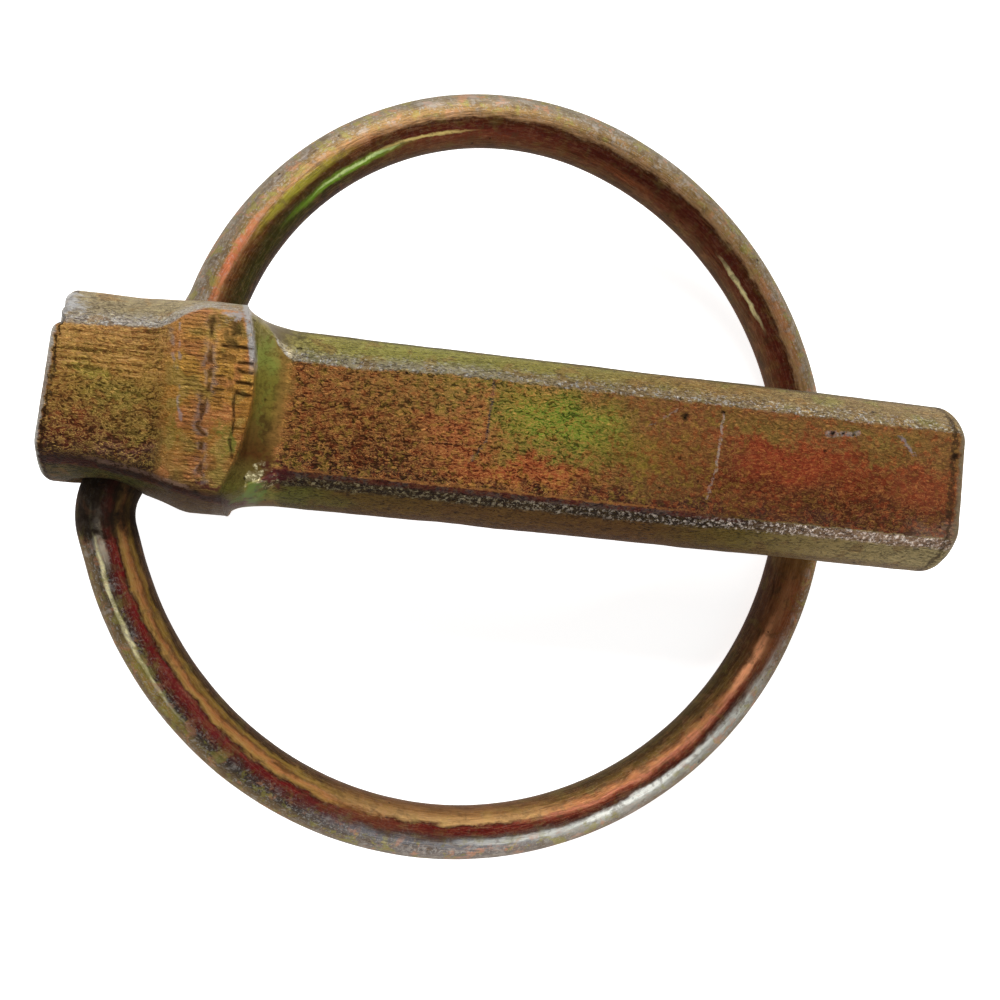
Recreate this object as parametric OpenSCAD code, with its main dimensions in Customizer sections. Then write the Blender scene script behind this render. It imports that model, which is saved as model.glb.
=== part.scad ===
// Lynch pin: a forged pin with a flattened head, and a round sprung wire ring
// that turns in a slanting hole through the head and closes behind the shank.
//
// Frame: the origin is on the shank's axis where its straight part begins, past
// the neck. +X runs along the shank to its tip, +Y across the pin, and +Z faces
// the pressed flat. Lengths below are taken from the head's shoulder.

/* [Shank] */
// Diameter of the shank
shank_d = 11; // [10.8:0.1:11.2]
// Length of the shank, from the head's shoulder to the tip
shank_length = 44.4; // [42:0.1:50]
// Distance of the pressed flat from the shank's axis
flat_height = 4.3; // [4.1:0.05:4.7]
// Radius of the worn crease on each side of the flat
crease_r = 0.6; // [0.3:0.05:0.9]
// Radius of the rounded edge at the tip
tip_round = 0.8; // [0.3:0.05:1.5]

/* [Head] */
// Length of the head, from its outer end to the shoulder
head_length = 12.2; // [11.6:0.1:14]
// Slant of the outer end, which stands further out at its -Y corner
end_slant = 2.5; // [0:0.5:5]
// Reach of the head on the +Y side of the axis, at its outer end
head_top = 6.4; // [5.8:0.05:6.6]
// Reach of the head on the -Y side of the axis, at its outer end
head_bottom = 5.3; // [5:0.05:6.2]
// Height of the head's front and back faces from the axis
head_face = 4.8; // [4.5:0.05:5.2]
// Width of the head's front and back faces
head_flat = 7.1; // [6:0.1:8]
// Radius of the worn edge round the outer end
end_round = 0.5; // [0.2:0.05:0.8]

/* [Collar] */
// Length of the collar that swells the head next to the shoulder
collar_length = 5.2; // [4.6:0.1:5.8]
// Reach of the collar on the +Y side of the axis
collar_top = 6.6; // [6.4:0.05:7]
// Reach of the collar on the -Y side of the axis
collar_bottom = 6.4; // [6.2:0.05:7]
// Height of the collar's front and back faces from the axis
collar_face = 5.6; // [5.6:0.05:6]
// Width of the collar's front and back faces
collar_flat = 10.3; // [9.4:0.1:11]
// How far the shoulder's edge falls back at the sides of the collar
shoulder_bow = 1.2; // [0.4:0.1:1.4]
// Length of the hollow neck between the shoulder and the shank's flat
neck_length = 2.2; // [1.8:0.1:3]

/* [Ring hole] */
// Diameter of the hole that the ring's ends turn in
hole_d = 3.6; // [3.56:0.01:3.68]
// Distance from the shoulder back to where the hole crosses the shank's axis
hole_back = 6; // [5.8:0.1:6.4]
// Slant of the hole towards the tip, at its +Y end
hole_slant = 22.3; // [21:0.1:24]
// Lean of the hole towards the back, at its +Y end
hole_lean = 3.9; // [3:0.1:5]
// How much wider the hole's mouths are worn than the hole, on the radius
mouth_wear = 0.4; // [0.3:0.05:0.6]

/* [Ring] */
// Diameter of the ring's wire
wire_d = 3.5; // [3.44:0.01:3.52]
// Distance of the ring's first bend from the shank's axis, along the hole
first_bend_at = 7.05; // [7:0.05:7.4]
// Turn of the first bend, away from the shank
first_bend = 7.4; // [7.2:0.1:7.6]
// Radius of the first bend
first_bend_r = 3.5; // [3:0.1:4]
// Radius of the upper arc
upper_r = 20.15; // [20.05:0.05:20.25]
// Turn of the upper arc
upper_turn = 88.6; // [88.2:0.1:89]
// Radius of the far arc, which crosses behind the shank
far_r = 23.6; // [23.5:0.05:23.7]
// Turn of the far arc
far_turn = 124.8; // [124.3:0.1:125.3]
// Radius of the lower arc
lower_r = 24.15; // [24.05:0.05:24.25]
// Turn of the lower arc
lower_turn = 111.2; // [110.4:0.1:111.8]
// Radius of the last bend, where the wire turns into the hole
last_bend_r = 4; // [3.6:0.1:4.4]
// Tilt of the closed ring behind the shank
ring_tilt = 9.7; // [9.6:0.1:11]
// Gap left between the ring's two ends, inside the head
end_gap = 3; // [1:0.5:5]

/* [Hidden] */

// Facets of the round forms
round_fn = 96;
wire_fn = 64;
// Sides of the bent wire, and its turn from stop to stop on wide and tight arcs
wire_sides = 18;
wide_step = 5;
tight_step = 7.5;
// How far the bent wire is let into its straight ends, and its radius there
wire_tuck = 0.3;
tuck_share = 0.94;
// Overlap that carries one solid through another
eps = 0.05;

shank_r = shank_d / 2;
// Length of shank that runs on into the head, to join the two
shank_root = 3;

// The flat's creases are rounded by narrow strips, evenly turned
crease_strips = 3;
crease_y = sqrt(pow(shank_r - crease_r, 2) - pow(flat_height - crease_r, 2));
crease_turn = atan2(crease_y, flat_height - crease_r);
crease_step = crease_turn / (crease_strips + 1);

// Half width of the shank's flat where its creases begin
shank_flat = 2 * sqrt(pow(shank_r, 2) - pow(flat_height, 2));

// Points of a head section: down each side, and across each face
side_steps = 14;
face_steps = 6;
// Stations along the head: outer edge, head and collar, and neck
edge_steps = 3;
head_steps = 16;
neck_steps = 10;
// Where the flare into the collar begins, as a share of the head's length
flare_share = 0.66;
// Height across the pin at which the shoulder stands furthest forward
bow_top = 1;
// Distance across the pin at which the bow reaches its full depth
bow_reach = 5.6;
// How far the neck's end stands proud of the shank, where the dies met
neck_proud = 0.06;

// Path of the ring's wire in its own plane, as [radius, turn towards the
// shank] for each arc, starting where the wire leaves the hole's +Y mouth
ring_arcs = [
    [first_bend_r, -first_bend],
    [upper_r, upper_turn],
    [far_r, far_turn],
    [lower_r, lower_turn]
];
last_turn = 360 + first_bend - upper_turn - far_turn - lower_turn;

function mix(a, b, t) = a + (b - a) * t;
function smooth(x, x0, x1) =
    let (t = min(1, max(0, (x - x0) / (x1 - x0))))
    t * t * (3 - 2 * t);

// Share of a hollow still to fall, along the neck from 1 to 0
function hollow(x) =
    let (t = min(1, max(0, x / neck_length)))
    1 - sqrt(max(0, 1 - pow(1 - t, 2)));

// How much the outer end's worn edge takes off each reach
function edge_wear(x) =
    let (t = max(0, 1 - (x + head_length) / end_round))
    end_round * (1 - sqrt(1 - t * t));

// Share of the way from the head's section to the collar's
function flare(x) = smooth(x, -head_length * flare_share, -collar_length / 2);
function step_up(x) = smooth(x, -collar_length - 0.6, -collar_length + 0.8);

// Reach to one side, half width of the face, and face height at a station
function reach(x, head, collar) =
    x > 0 ? mix(shank_r + neck_proud, collar, hollow(x))
          : mix(head, collar, flare(x)) - edge_wear(x);
function face_half(x, end_flat) =
    x > 0 ? mix(collar_flat, end_flat, smooth(x, 0, neck_length)) / 2
          : mix(head_flat, collar_flat, flare(x)) / 2 - edge_wear(x);
function face_height(x, end_height) =
    x > 0 ? mix(end_height + neck_proud, collar_face, hollow(x))
          : mix(head_face, collar_face, step_up(x)) - edge_wear(x);

// How far a point across the pin falls back from the shoulder's front edge.
// The bow dies out along the neck, whose end is square to the shank.
function bow(x, y) =
    shoulder_bow * smooth(x, -collar_length, -1) * (1 - smooth(x, 0, neck_length))
    * min(1, pow((y - bow_top) / bow_reach, 2));

// How far a point stands in from the outer end's -Y corner
function slant(x, y) =
    (y + head_bottom) * tan(end_slant) * (1 - smooth(x, -head_length, -collar_length));

// One side of a section: an ellipse cut off level with the face
function side(reach, half, height, from, to, steps) =
    let (rise = height / sqrt(1 - pow(half / reach, 2)),
         full = asin(height / rise))
    [for (i = [0:steps])
        let (a = full * mix(from, to, i / steps))
        [reach * cos(a), rise * sin(a)]];

function section(x) =
    let (top = reach(x, head_top, collar_top),
         low = reach(x, head_bottom, collar_bottom),
         front = face_half(x, shank_flat),
         back = face_half(x, 1),
         front_z = face_height(x, flat_height),
         back_z = face_height(x, shank_r),
         n = side_steps / 2)
    concat(
        side(top, front, front_z, 0, 1, n),
        [for (i = [1:face_steps - 1]) [mix(front, -front, i / face_steps), front_z]],
        [for (p = side(low, front, front_z, 1, 0, n)) [-p[0], p[1]]],
        [for (i = [1:n]) let (p = side(low, back, back_z, 0, 1, n)[i]) [-p[0], -p[1]]],
        [for (i = [1:face_steps - 1]) [mix(-back, back, i / face_steps), -back_z]],
        [for (i = [0:n - 1]) let (p = side(top, back, back_z, 1, 0, n)[i]) [p[0], -p[1]]]
    );

stations = concat(
    [for (i = [0:edge_steps]) -head_length + end_round * (1 - cos(90 * i / edge_steps))],
    [for (i = [1:head_steps]) mix(-head_length + end_round, 0, i / head_steps)],
    [for (i = [1:neck_steps]) neck_length * pow(i / neck_steps, 1.5)]
);

function towards(angle) = [cos(angle), sin(angle)];

// Where the wire stands after a bend, as [place, heading]
function bent(start, r, turn) =
    let (inward = start[1] - 90 * sign(turn))
    [start[0] + r * (towards(inward) - towards(inward - turn)), start[1] - turn];
function arc_start(i) =
    i == 0 ? [[0, first_bend_at], 90]
           : bent(arc_start(i - 1), ring_arcs[i - 1][0], ring_arcs[i - 1][1]);

arcs_end = arc_start(len(ring_arcs));
// Straight length that brings the last bend back onto the hole's axis
closing_straight =
    (last_bend_r * (1 - cos(arcs_end[1] - 90)) - arcs_end[0][0]) / cos(arcs_end[1]);
last_bend_start = [arcs_end[0] + closing_straight * towards(arcs_end[1]), arcs_end[1]];
last_bend_end = bent(last_bend_start, last_bend_r, last_turn)[0][1];

// Stops along one arc, leaving out its start
function arc_stops(start, r, turn) =
    let (steps = ceil(abs(turn) / (r < 2 * wire_d ? tight_step : wide_step)))
    [for (j = [1:steps]) bent(start, r, turn * j / steps)];

// Stops along the whole bent wire, each [place, heading]
wire_stops = concat(
    [arc_start(0)],
    [for (i = [0:len(ring_arcs) - 1])
        each arc_stops(arc_start(i), ring_arcs[i][0], ring_arcs[i][1])],
    [last_bend_start],
    arc_stops(last_bend_start, last_bend_r, last_turn)
);

// Places children that are measured from the head's shoulder
module from_shoulder() {
    translate([-neck_length, 0, 0])
        children();
}

// Places its children on the ring's hole, with +Y along the hole
module on_hole() {
    translate([-hole_back, 0, 0])
        rotate([-hole_lean, 0, -hole_slant])
            children();
}

// Round bar of the shank, with its rounded tip, along +X
module shank_bar() {
    rotate([0, 90, 0])
        rotate_extrude($fn = round_fn) {
            translate([0, -shank_root])
                square([shank_r, shank_length - tip_round + shank_root]);
            square([shank_r - tip_round, shank_length]);
            translate([shank_r - tip_round, shank_length - tip_round])
                circle(r = tip_round, $fn = wire_fn);
        }
}

// Everything behind the pressed flat and its worn creases
module behind_flat() {
    centre = [crease_y, flat_height - crease_r];
    last = crease_step * crease_strips;
    corner = crease_r / cos(crease_step / 2);
    right = concat(
        [[shank_d, -shank_d]],
        [centre + crease_r * towards(90 - last) + shank_d * towards(-last)],
        [for (i = [crease_strips - 1:-1:0])
            centre + corner * towards(90 - crease_step * (i + 0.5))]
    );
    left = [for (i = [len(right) - 1:-1:0]) [-right[i][0], right[i][1]]];
    translate([-shank_root - eps, 0, 0])
        rotate([90, 0, 90])
            linear_extrude(shank_length + shank_root + 2 * eps)
                polygon(concat(right, left));
}

module shank() {
    intersection() {
        shank_bar();
        behind_flat();
    }
}

// Forged head, swollen collar and hollow neck, lofted through their sections
module head() {
    sections = [for (x = stations) section(x)];
    count = len(sections[0]);
    last = len(stations) - 1;
    skin = [for (k = [0:last]) for (p = sections[k])
        [stations[k] - bow(stations[k], p[0]) + slant(stations[k], p[0]), p[0], p[1]]];
    ends = [[stations[0] + slant(stations[0], 0), 0, 0], [stations[last], 0, 0]];
    outer_end = len(skin);
    polyhedron(
        points = concat(skin, ends),
        faces = concat(
            [for (k = [0:last - 1]) for (i = [0:count - 1])
                let (a = k * count + i, b = k * count + (i + 1) % count)
                [a, a + count, b + count]],
            [for (k = [0:last - 1]) for (i = [0:count - 1])
                let (a = k * count + i, b = k * count + (i + 1) % count)
                [a, b + count, b]],
            [for (i = [0:count - 1]) [outer_end, i, (i + 1) % count]],
            [for (i = [0:count - 1])
                [outer_end + 1, last * count + (i + 1) % count, last * count + i]]
        )
    );
}

// Hole for the ring's ends, right through the head
module ring_hole() {
    on_hole()
        rotate([90, 0, 0]) {
            cylinder(d = hole_d, h = 3 * head_length, center = true, $fn = wire_fn);
            worn_mouth(-collar_top / cos(hole_slant));
            rotate([180, 0, 0])
                worn_mouth(-head_bottom / cos(hole_slant));
        }
}

// Mouth of the hole, opened out by the wire; at is its place down the hole
module worn_mouth(at) {
    depth = 3 * mouth_wear;
    translate([0, 0, at])
        mirror([0, 0, 1])
            translate([0, 0, -depth])
                cylinder(
                    r1 = hole_d / 2 - eps,
                    r2 = hole_d / 2 + 2 * mouth_wear,
                    h = 2 * depth,
                    $fn = wire_fn
                );
}

// Chip broken out of the outer end's front edge
module end_chip() {
    translate([slant(-head_length, head_flat / 2) - head_length, head_flat / 2, head_face])
        rotate([0, 45, 30])
            cube([0.9, 0.8, 0.9], center = true);
}

module pin() {
    color("#a07a42")
        from_shoulder()
            difference() {
                union() {
                    shank();
                    head();
                }
                ring_hole();
                end_chip();
            }
}

// The bent wire between the hole's two mouths, swept along its stops
module bent_wire() {
    last = len(wire_stops) - 1;
    tucked = concat(
        [[wire_stops[0][0] - [0, 2 * wire_tuck], 90]],
        wire_stops,
        [[wire_stops[last][0] + [0, 2 * wire_tuck], 90]]
    );
    rings = last + 3;
    skin = [for (k = [0:rings - 1]) for (i = [0:wire_sides - 1])
        let (stop = tucked[k],
             r = (k == 0 || k == rings - 1 ? tuck_share : 1) * wire_d / 2,
             a = 360 * i / wire_sides,
             place = stop[0] + r * cos(a) * towards(stop[1] - 90))
        [place[0], place[1], r * sin(a)]];
    polyhedron(
        points = skin,
        faces = concat(
            [[for (i = [wire_sides - 1:-1:0]) i]],
            [for (k = [0:rings - 2]) for (i = [0:wire_sides - 1])
                let (a = k * wire_sides + i,
                     b = k * wire_sides + (i + 1) % wire_sides)
                [a, b + wire_sides, a + wire_sides]],
            [for (k = [0:rings - 2]) for (i = [0:wire_sides - 1])
                let (a = k * wire_sides + i,
                     b = k * wire_sides + (i + 1) % wire_sides)
                [a, b, b + wire_sides]],
            [[for (i = [0:wire_sides - 1]) (rings - 1) * wire_sides + i]]
        )
    );
}

// Straight end of the wire, along the hole between two places
module wire_end(from, to) {
    translate([0, from, 0])
        rotate([-90, 0, 0])
            cylinder(d = wire_d, h = to - from, $fn = wire_fn);
}

module ring() {
    color("#a98a55")
        from_shoulder()
            on_hole()
                rotate([0, ring_tilt, 0]) {
                    bent_wire();
                    wire_end(end_gap / 2, first_bend_at - wire_tuck);
                    wire_end(last_bend_end + wire_tuck, -end_gap / 2);
                }
}

pin();
ring();
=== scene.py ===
import math

import bmesh
import bpy
import numpy as np
from mathutils import Matrix, Vector


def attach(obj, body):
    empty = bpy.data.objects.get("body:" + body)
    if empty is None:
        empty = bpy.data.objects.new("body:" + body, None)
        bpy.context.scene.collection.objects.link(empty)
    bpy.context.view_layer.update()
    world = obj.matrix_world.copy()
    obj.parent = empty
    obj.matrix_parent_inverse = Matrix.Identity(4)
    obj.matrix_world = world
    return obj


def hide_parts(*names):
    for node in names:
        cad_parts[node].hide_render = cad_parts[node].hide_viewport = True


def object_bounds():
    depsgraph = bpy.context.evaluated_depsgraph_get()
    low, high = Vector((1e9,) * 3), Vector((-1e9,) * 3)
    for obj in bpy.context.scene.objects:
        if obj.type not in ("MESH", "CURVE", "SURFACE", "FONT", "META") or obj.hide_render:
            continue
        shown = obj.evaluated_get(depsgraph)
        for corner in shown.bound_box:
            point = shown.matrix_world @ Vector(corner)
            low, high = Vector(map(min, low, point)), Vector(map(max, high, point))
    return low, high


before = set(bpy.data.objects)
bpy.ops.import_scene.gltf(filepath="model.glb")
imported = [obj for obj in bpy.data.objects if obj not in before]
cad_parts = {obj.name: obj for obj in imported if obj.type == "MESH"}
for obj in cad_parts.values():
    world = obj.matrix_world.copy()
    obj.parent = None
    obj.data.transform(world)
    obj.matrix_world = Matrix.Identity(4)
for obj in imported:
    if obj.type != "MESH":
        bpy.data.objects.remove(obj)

cad_box = [list(corner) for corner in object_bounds()]

# Lengths are in millimetres from the head's shoulder until a mesh is made
MM = 0.001
NECK_LENGTH = 2.2

# Shank
SHANK_R = 5.5
SHANK_LENGTH = 44.4
FLAT_HEIGHT = 4.3
BACK_FLAT = 1.0
TIP_ROUND = 0.8

# Head, collar and neck
HEAD_LENGTH = 12.2
END_SLANT = 2.5
HEAD_TOP, HEAD_BOTTOM = 6.4, 5.3
HEAD_FACE, HEAD_FLAT = 4.8, 7.1
END_ROUND = 0.5
FLARE_SHARE = 0.66
COLLAR_LENGTH = 5.2
COLLAR_TOP, COLLAR_BOTTOM = 6.6, 6.4
COLLAR_FACE, COLLAR_FLAT = 5.6, 10.3
STEP_BEFORE, STEP_AFTER = 1.0, 1.2
SHOULDER_BOW, BOW_MIDDLE, BOW_REACH = 1.2, 1.0, 5.6

# Hole for the ring's ends, and the funnels worn at its mouths
HOLE_BACK = 6.0
HOLE_SLANT, HOLE_LEAN = 22.3, 3.9
HOLE_R = 1.8
FUNNEL_DEPTH, FUNNEL_OPEN, FUNNEL_CURVE = 1.2, 0.85, 1.7
CUTTER_PAST = 3.5

# Ring: radius and turn of each arc, from the head's upper mouth round to its lower one
WIRE_R = 1.75
FIRST_BEND_AT = 7.05
RING_ARCS = [(3.5, -7.4), (20.15, 88.6), (23.6, 124.8), (24.15, 111.2)]
LAST_BEND_R = 4.0
RING_TILT = 9.7
END_GAP = 3.0
WIRE_LENGTH = 144.2
UPPER_MOUTH_AT = 5.55  # along the wire from its first end
BEND_STEP, TIGHT_BEND = 0.314, 5.0  # tighter bends have as many steps as this radius

# Points round a section of the pin: across its front face, down each side of the front and
# of the back, and across the back; points round the wire and round the hole
FACE_POINTS, FRONT_SIDE, BACK_SIDE, BACK_POINTS = 116, 40, 24, 12
WIRE_SIDES, HOLE_SIDES = 48, 96

# Forging marks: where the close sections begin, and how much the blows and the scale move
# the skin; the skin is drawn in first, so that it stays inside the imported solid
COLLAR_FROM = -5.6
BLOWS, LUMPS, SCALE, DRAWN_SCALE, SCALE_PITS = 0.05, 0.018, 0.022, 0.03, 0.05
PIN_DRAWN_IN, RING_DRAWN_IN = 0.05, 0.02
WIRE_WAVES, WIRE_GRAIN = 0.014, 0.006
NICK_DEPTH = 0.9


def mix(a, b, t):
    return a + (b - a) * t


def ease(x, start, end):
    """0 before start, 1 after end, and a smooth rise between them."""
    t = np.clip((x - start) / (end - start), 0, 1)
    return t * t * (3 - 2 * t)


def fade(x, start, end):
    """1 before start, 0 after end, and a smooth fall between them."""
    return 1 - ease(x, start, end)


def within(x, start, end, soft):
    """1 between start and end, with soft shoulders inside them."""
    return ease(x, start, start + soft) * fade(x, end - soft, end)


# ---- surface noise


def hashed(ix, iy, iz, seed):
    """A repeatable number from 0 to 1 for each cell of a lattice."""
    h = (ix * 374761393 + iy * 668265263 + iz * 2147483647 + seed * 974634777) & 0xFFFFFFFF
    h = ((h ^ (h >> 13)) * 1274126177) & 0xFFFFFFFF
    h = ((h ^ (h >> 16)) * 2246822519) & 0xFFFFFFFF
    return (h & 0xFFFFFF) / float(0xFFFFFF)


def waves(points, size, seed):
    """Smooth noise from -1 to 1; size is the length of a cell along each axis."""
    p = points / np.asarray(size, float)
    cell = np.floor(p).astype(np.int64)
    t = p - cell
    t = t * t * (3 - 2 * t)
    total = 0
    for corner in np.ndindex(2, 2, 2):
        weight = 1.0
        for axis, far in enumerate(corner):
            weight = weight * (t[..., axis] if far else 1 - t[..., axis])
        total = total + weight * hashed(*np.moveaxis(cell + corner, -1, 0), seed)
    return 2 * total - 1


def rough(points, size, seed, layers=3):
    """Layered noise from about -1 to 1."""
    size = np.asarray(size, float)
    fainter, span = 0.55, 1.6
    total, strength = 0, 1.0
    for layer in range(layers):
        total = total + strength * waves(points, size / 2**layer, seed + 31 * layer)
        strength *= fainter
    return total / span


# ---- the forged pin


def hollow(x):
    """The neck's fall from the collar to the shank: 1 at the shoulder, 0 at the shank."""
    t = np.clip(x / NECK_LENGTH, 0, 1)
    return 1 - np.sqrt(np.maximum(0, 1 - (1 - t) ** 2))


def edge_wear(x):
    """How much the rounded outer end and tip take off each reach."""
    outer = np.clip(1 - (x + HEAD_LENGTH) / END_ROUND, 0, 1)
    tip = np.clip(1 - (SHANK_LENGTH - x) / TIP_ROUND, 0, 1)
    return END_ROUND * (1 - np.sqrt(1 - outer**2)) + TIP_ROUND * (1 - np.sqrt(1 - tip**2))


def flare(x):
    """The head's swelling into the collar, 0 to 1."""
    return ease(x, -HEAD_LENGTH * FLARE_SHARE, -COLLAR_LENGTH / 2)


def worn(x, beyond, before):
    """A reach of the section, from what it is beyond the shoulder and before it."""
    return np.where(x > 0, beyond, before) - edge_wear(x)


def reach(x, head, collar):
    """How far a section goes to one side of the axis."""
    return worn(x, mix(SHANK_R, collar, hollow(x)), mix(head, collar, flare(x)))


def face_half(x, end_half):
    """Half the width of a pressed face, end_half on the shank."""
    beyond = mix(COLLAR_FLAT / 2, end_half, ease(x, 0, NECK_LENGTH))
    half = worn(x, beyond, mix(HEAD_FLAT, COLLAR_FLAT, flare(x)) / 2)
    return np.maximum(BACK_FLAT / 4, half)


def face_height(x, end_height):
    """How high a pressed face stands off the axis, end_height on the shank."""
    step = ease(x, -COLLAR_LENGTH - STEP_BEFORE, -COLLAR_LENGTH + STEP_AFTER)
    return worn(x, mix(end_height, COLLAR_FACE, hollow(x)), mix(HEAD_FACE, COLLAR_FACE, step))


def bow(x, y):
    """How far a point falls back from the shoulder's front edge."""
    held = fade(x, 0, NECK_LENGTH)
    curve = np.minimum(1, ((y - BOW_MIDDLE) / BOW_REACH) ** 2)
    return SHOULDER_BOW * ease(x, -COLLAR_LENGTH, -1) * held * curve


def slant(x, y):
    """How far a point stands in from the outer end's -Y corner."""
    held = fade(x, -HEAD_LENGTH, -COLLAR_LENGTH)
    return (y + HEAD_BOTTOM) * math.tan(math.radians(END_SLANT)) * held


def side(reach_y, half, height, t):
    """Points down one side of a section: an ellipse cut off level with the face.

    A negative reach or height gives the side that lies that way from the axis.
    """
    rise = height / np.sqrt(np.maximum(1e-6, 1 - (half / reach_y) ** 2))
    a = np.arcsin(np.clip(height / rise, -1, 1)) * t
    return reach_y * np.cos(a), rise * np.sin(a)


def pin_section(x):
    """Points round the pin at each station, from +Y over the front face and round."""
    x = x[:, None]
    top, low = reach(x, HEAD_TOP, COLLAR_TOP), reach(x, HEAD_BOTTOM, COLLAR_BOTTOM)
    shank_half = math.sqrt(SHANK_R**2 - FLAT_HEIGHT**2)
    front, back = face_half(x, shank_half), face_half(x, BACK_FLAT / 2)
    front_z, back_z = face_height(x, FLAT_HEIGHT), face_height(x, SHANK_R)
    counts = (FRONT_SIDE, BACK_SIDE, FACE_POINTS, BACK_POINTS)
    up, down, across, behind = (np.linspace(0, 1, count + 1)[None, :] for count in counts)
    across, behind = across[:, 1:-1], behind[:, 1:-1]
    runs = [
        side(top, front, front_z, up),
        (mix(front, -front, across), front_z + 0 * across),
        side(-low, front, front_z, up[:, ::-1]),
        side(-low, back, -back_z, down[:, 1:]),
        (mix(-back, back, behind), -back_z + 0 * behind),
        side(top, back, -back_z, down[:, ::-1][:, :-1]),
    ]
    return [np.concatenate(parts, 1) for parts in zip(*runs)]


def pin_stations():
    """Where the pin's sections lie, closest along the torn collar."""
    quarter = math.pi / 2
    outer = -HEAD_LENGTH + END_ROUND * (1 - np.cos(np.linspace(0, quarter, 8)))
    head = np.linspace(-HEAD_LENGTH + END_ROUND, COLLAR_FROM, 56)[1:]
    collar = np.linspace(COLLAR_FROM, 0, 108)[1:]
    neck = NECK_LENGTH * np.linspace(0, 1, 28)[1:] ** 1.3
    shank = np.linspace(NECK_LENGTH, SHANK_LENGTH - TIP_ROUND, 136)[1:]
    tip = SHANK_LENGTH - TIP_ROUND * (1 - np.sin(np.linspace(0, quarter, 10)[1:]))
    return np.concatenate([outer, head, collar, neck, shank, tip])


def outward(grid):
    """Unit normals of a grid of points, closed round its second axis."""
    along = np.gradient(grid, axis=0)
    turn = np.roll(grid, -1, 1) - np.roll(grid, 1, 1)
    normal = np.cross(turn, along)
    normal /= np.maximum(1e-9, np.linalg.norm(normal, axis=-1, keepdims=True))
    return normal


def soften(grid, amount, rounds):
    """Eases the points of each section towards their neighbours, by amount."""
    for _ in range(rounds):
        middle = (np.roll(grid, 1, 1) + np.roll(grid, -1, 1)) / 2
        grid = grid + (middle - grid) * amount
    return grid


def line_gap(x, y, stops):
    """Distance of each point from a line through the stops."""
    gap = np.full(np.shape(x), np.inf)
    for (ax, ay), (bx, by) in zip(stops, stops[1:]):
        rx, ry = bx - ax, by - ay
        t = np.clip(((x - ax) * rx + (y - ay) * ry) / (rx * rx + ry * ry), 0, 1)
        gap = np.minimum(gap, np.hypot(x - ax - t * rx, y - ay - t * ry))
    return gap


def strokes(x, y, places, start, end, width, quiver):
    """Short torn grooves along the pin, one at each place across it."""
    total = np.zeros_like(x)
    for place, strength in places:
        left, right = start(place), end(place)
        off = np.abs(y - place + 0.04 * (x - left) + quiver * 0.05)
        wide = width * (0.6 + 0.5 * strength)
        groove = fade(off, wide * 0.35, wide) * within(x, left, right, 0.22)
        total = np.maximum(total, strength * groove)
    return total


def comb_places():
    """Places across the collar of its combed grooves, in pairs of a strong and a faint one."""
    rng = np.random.default_rng(11)
    comb = []
    place, last = 4.0, -4.9
    while place > last:
        comb.append((place, rng.uniform(0.45, 1.0)))
        comb.append((place - 0.24 + rng.uniform(-0.04, 0.04), rng.uniform(0.15, 0.6)))
        place -= rng.uniform(0.42, 0.58)
    return comb


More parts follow.
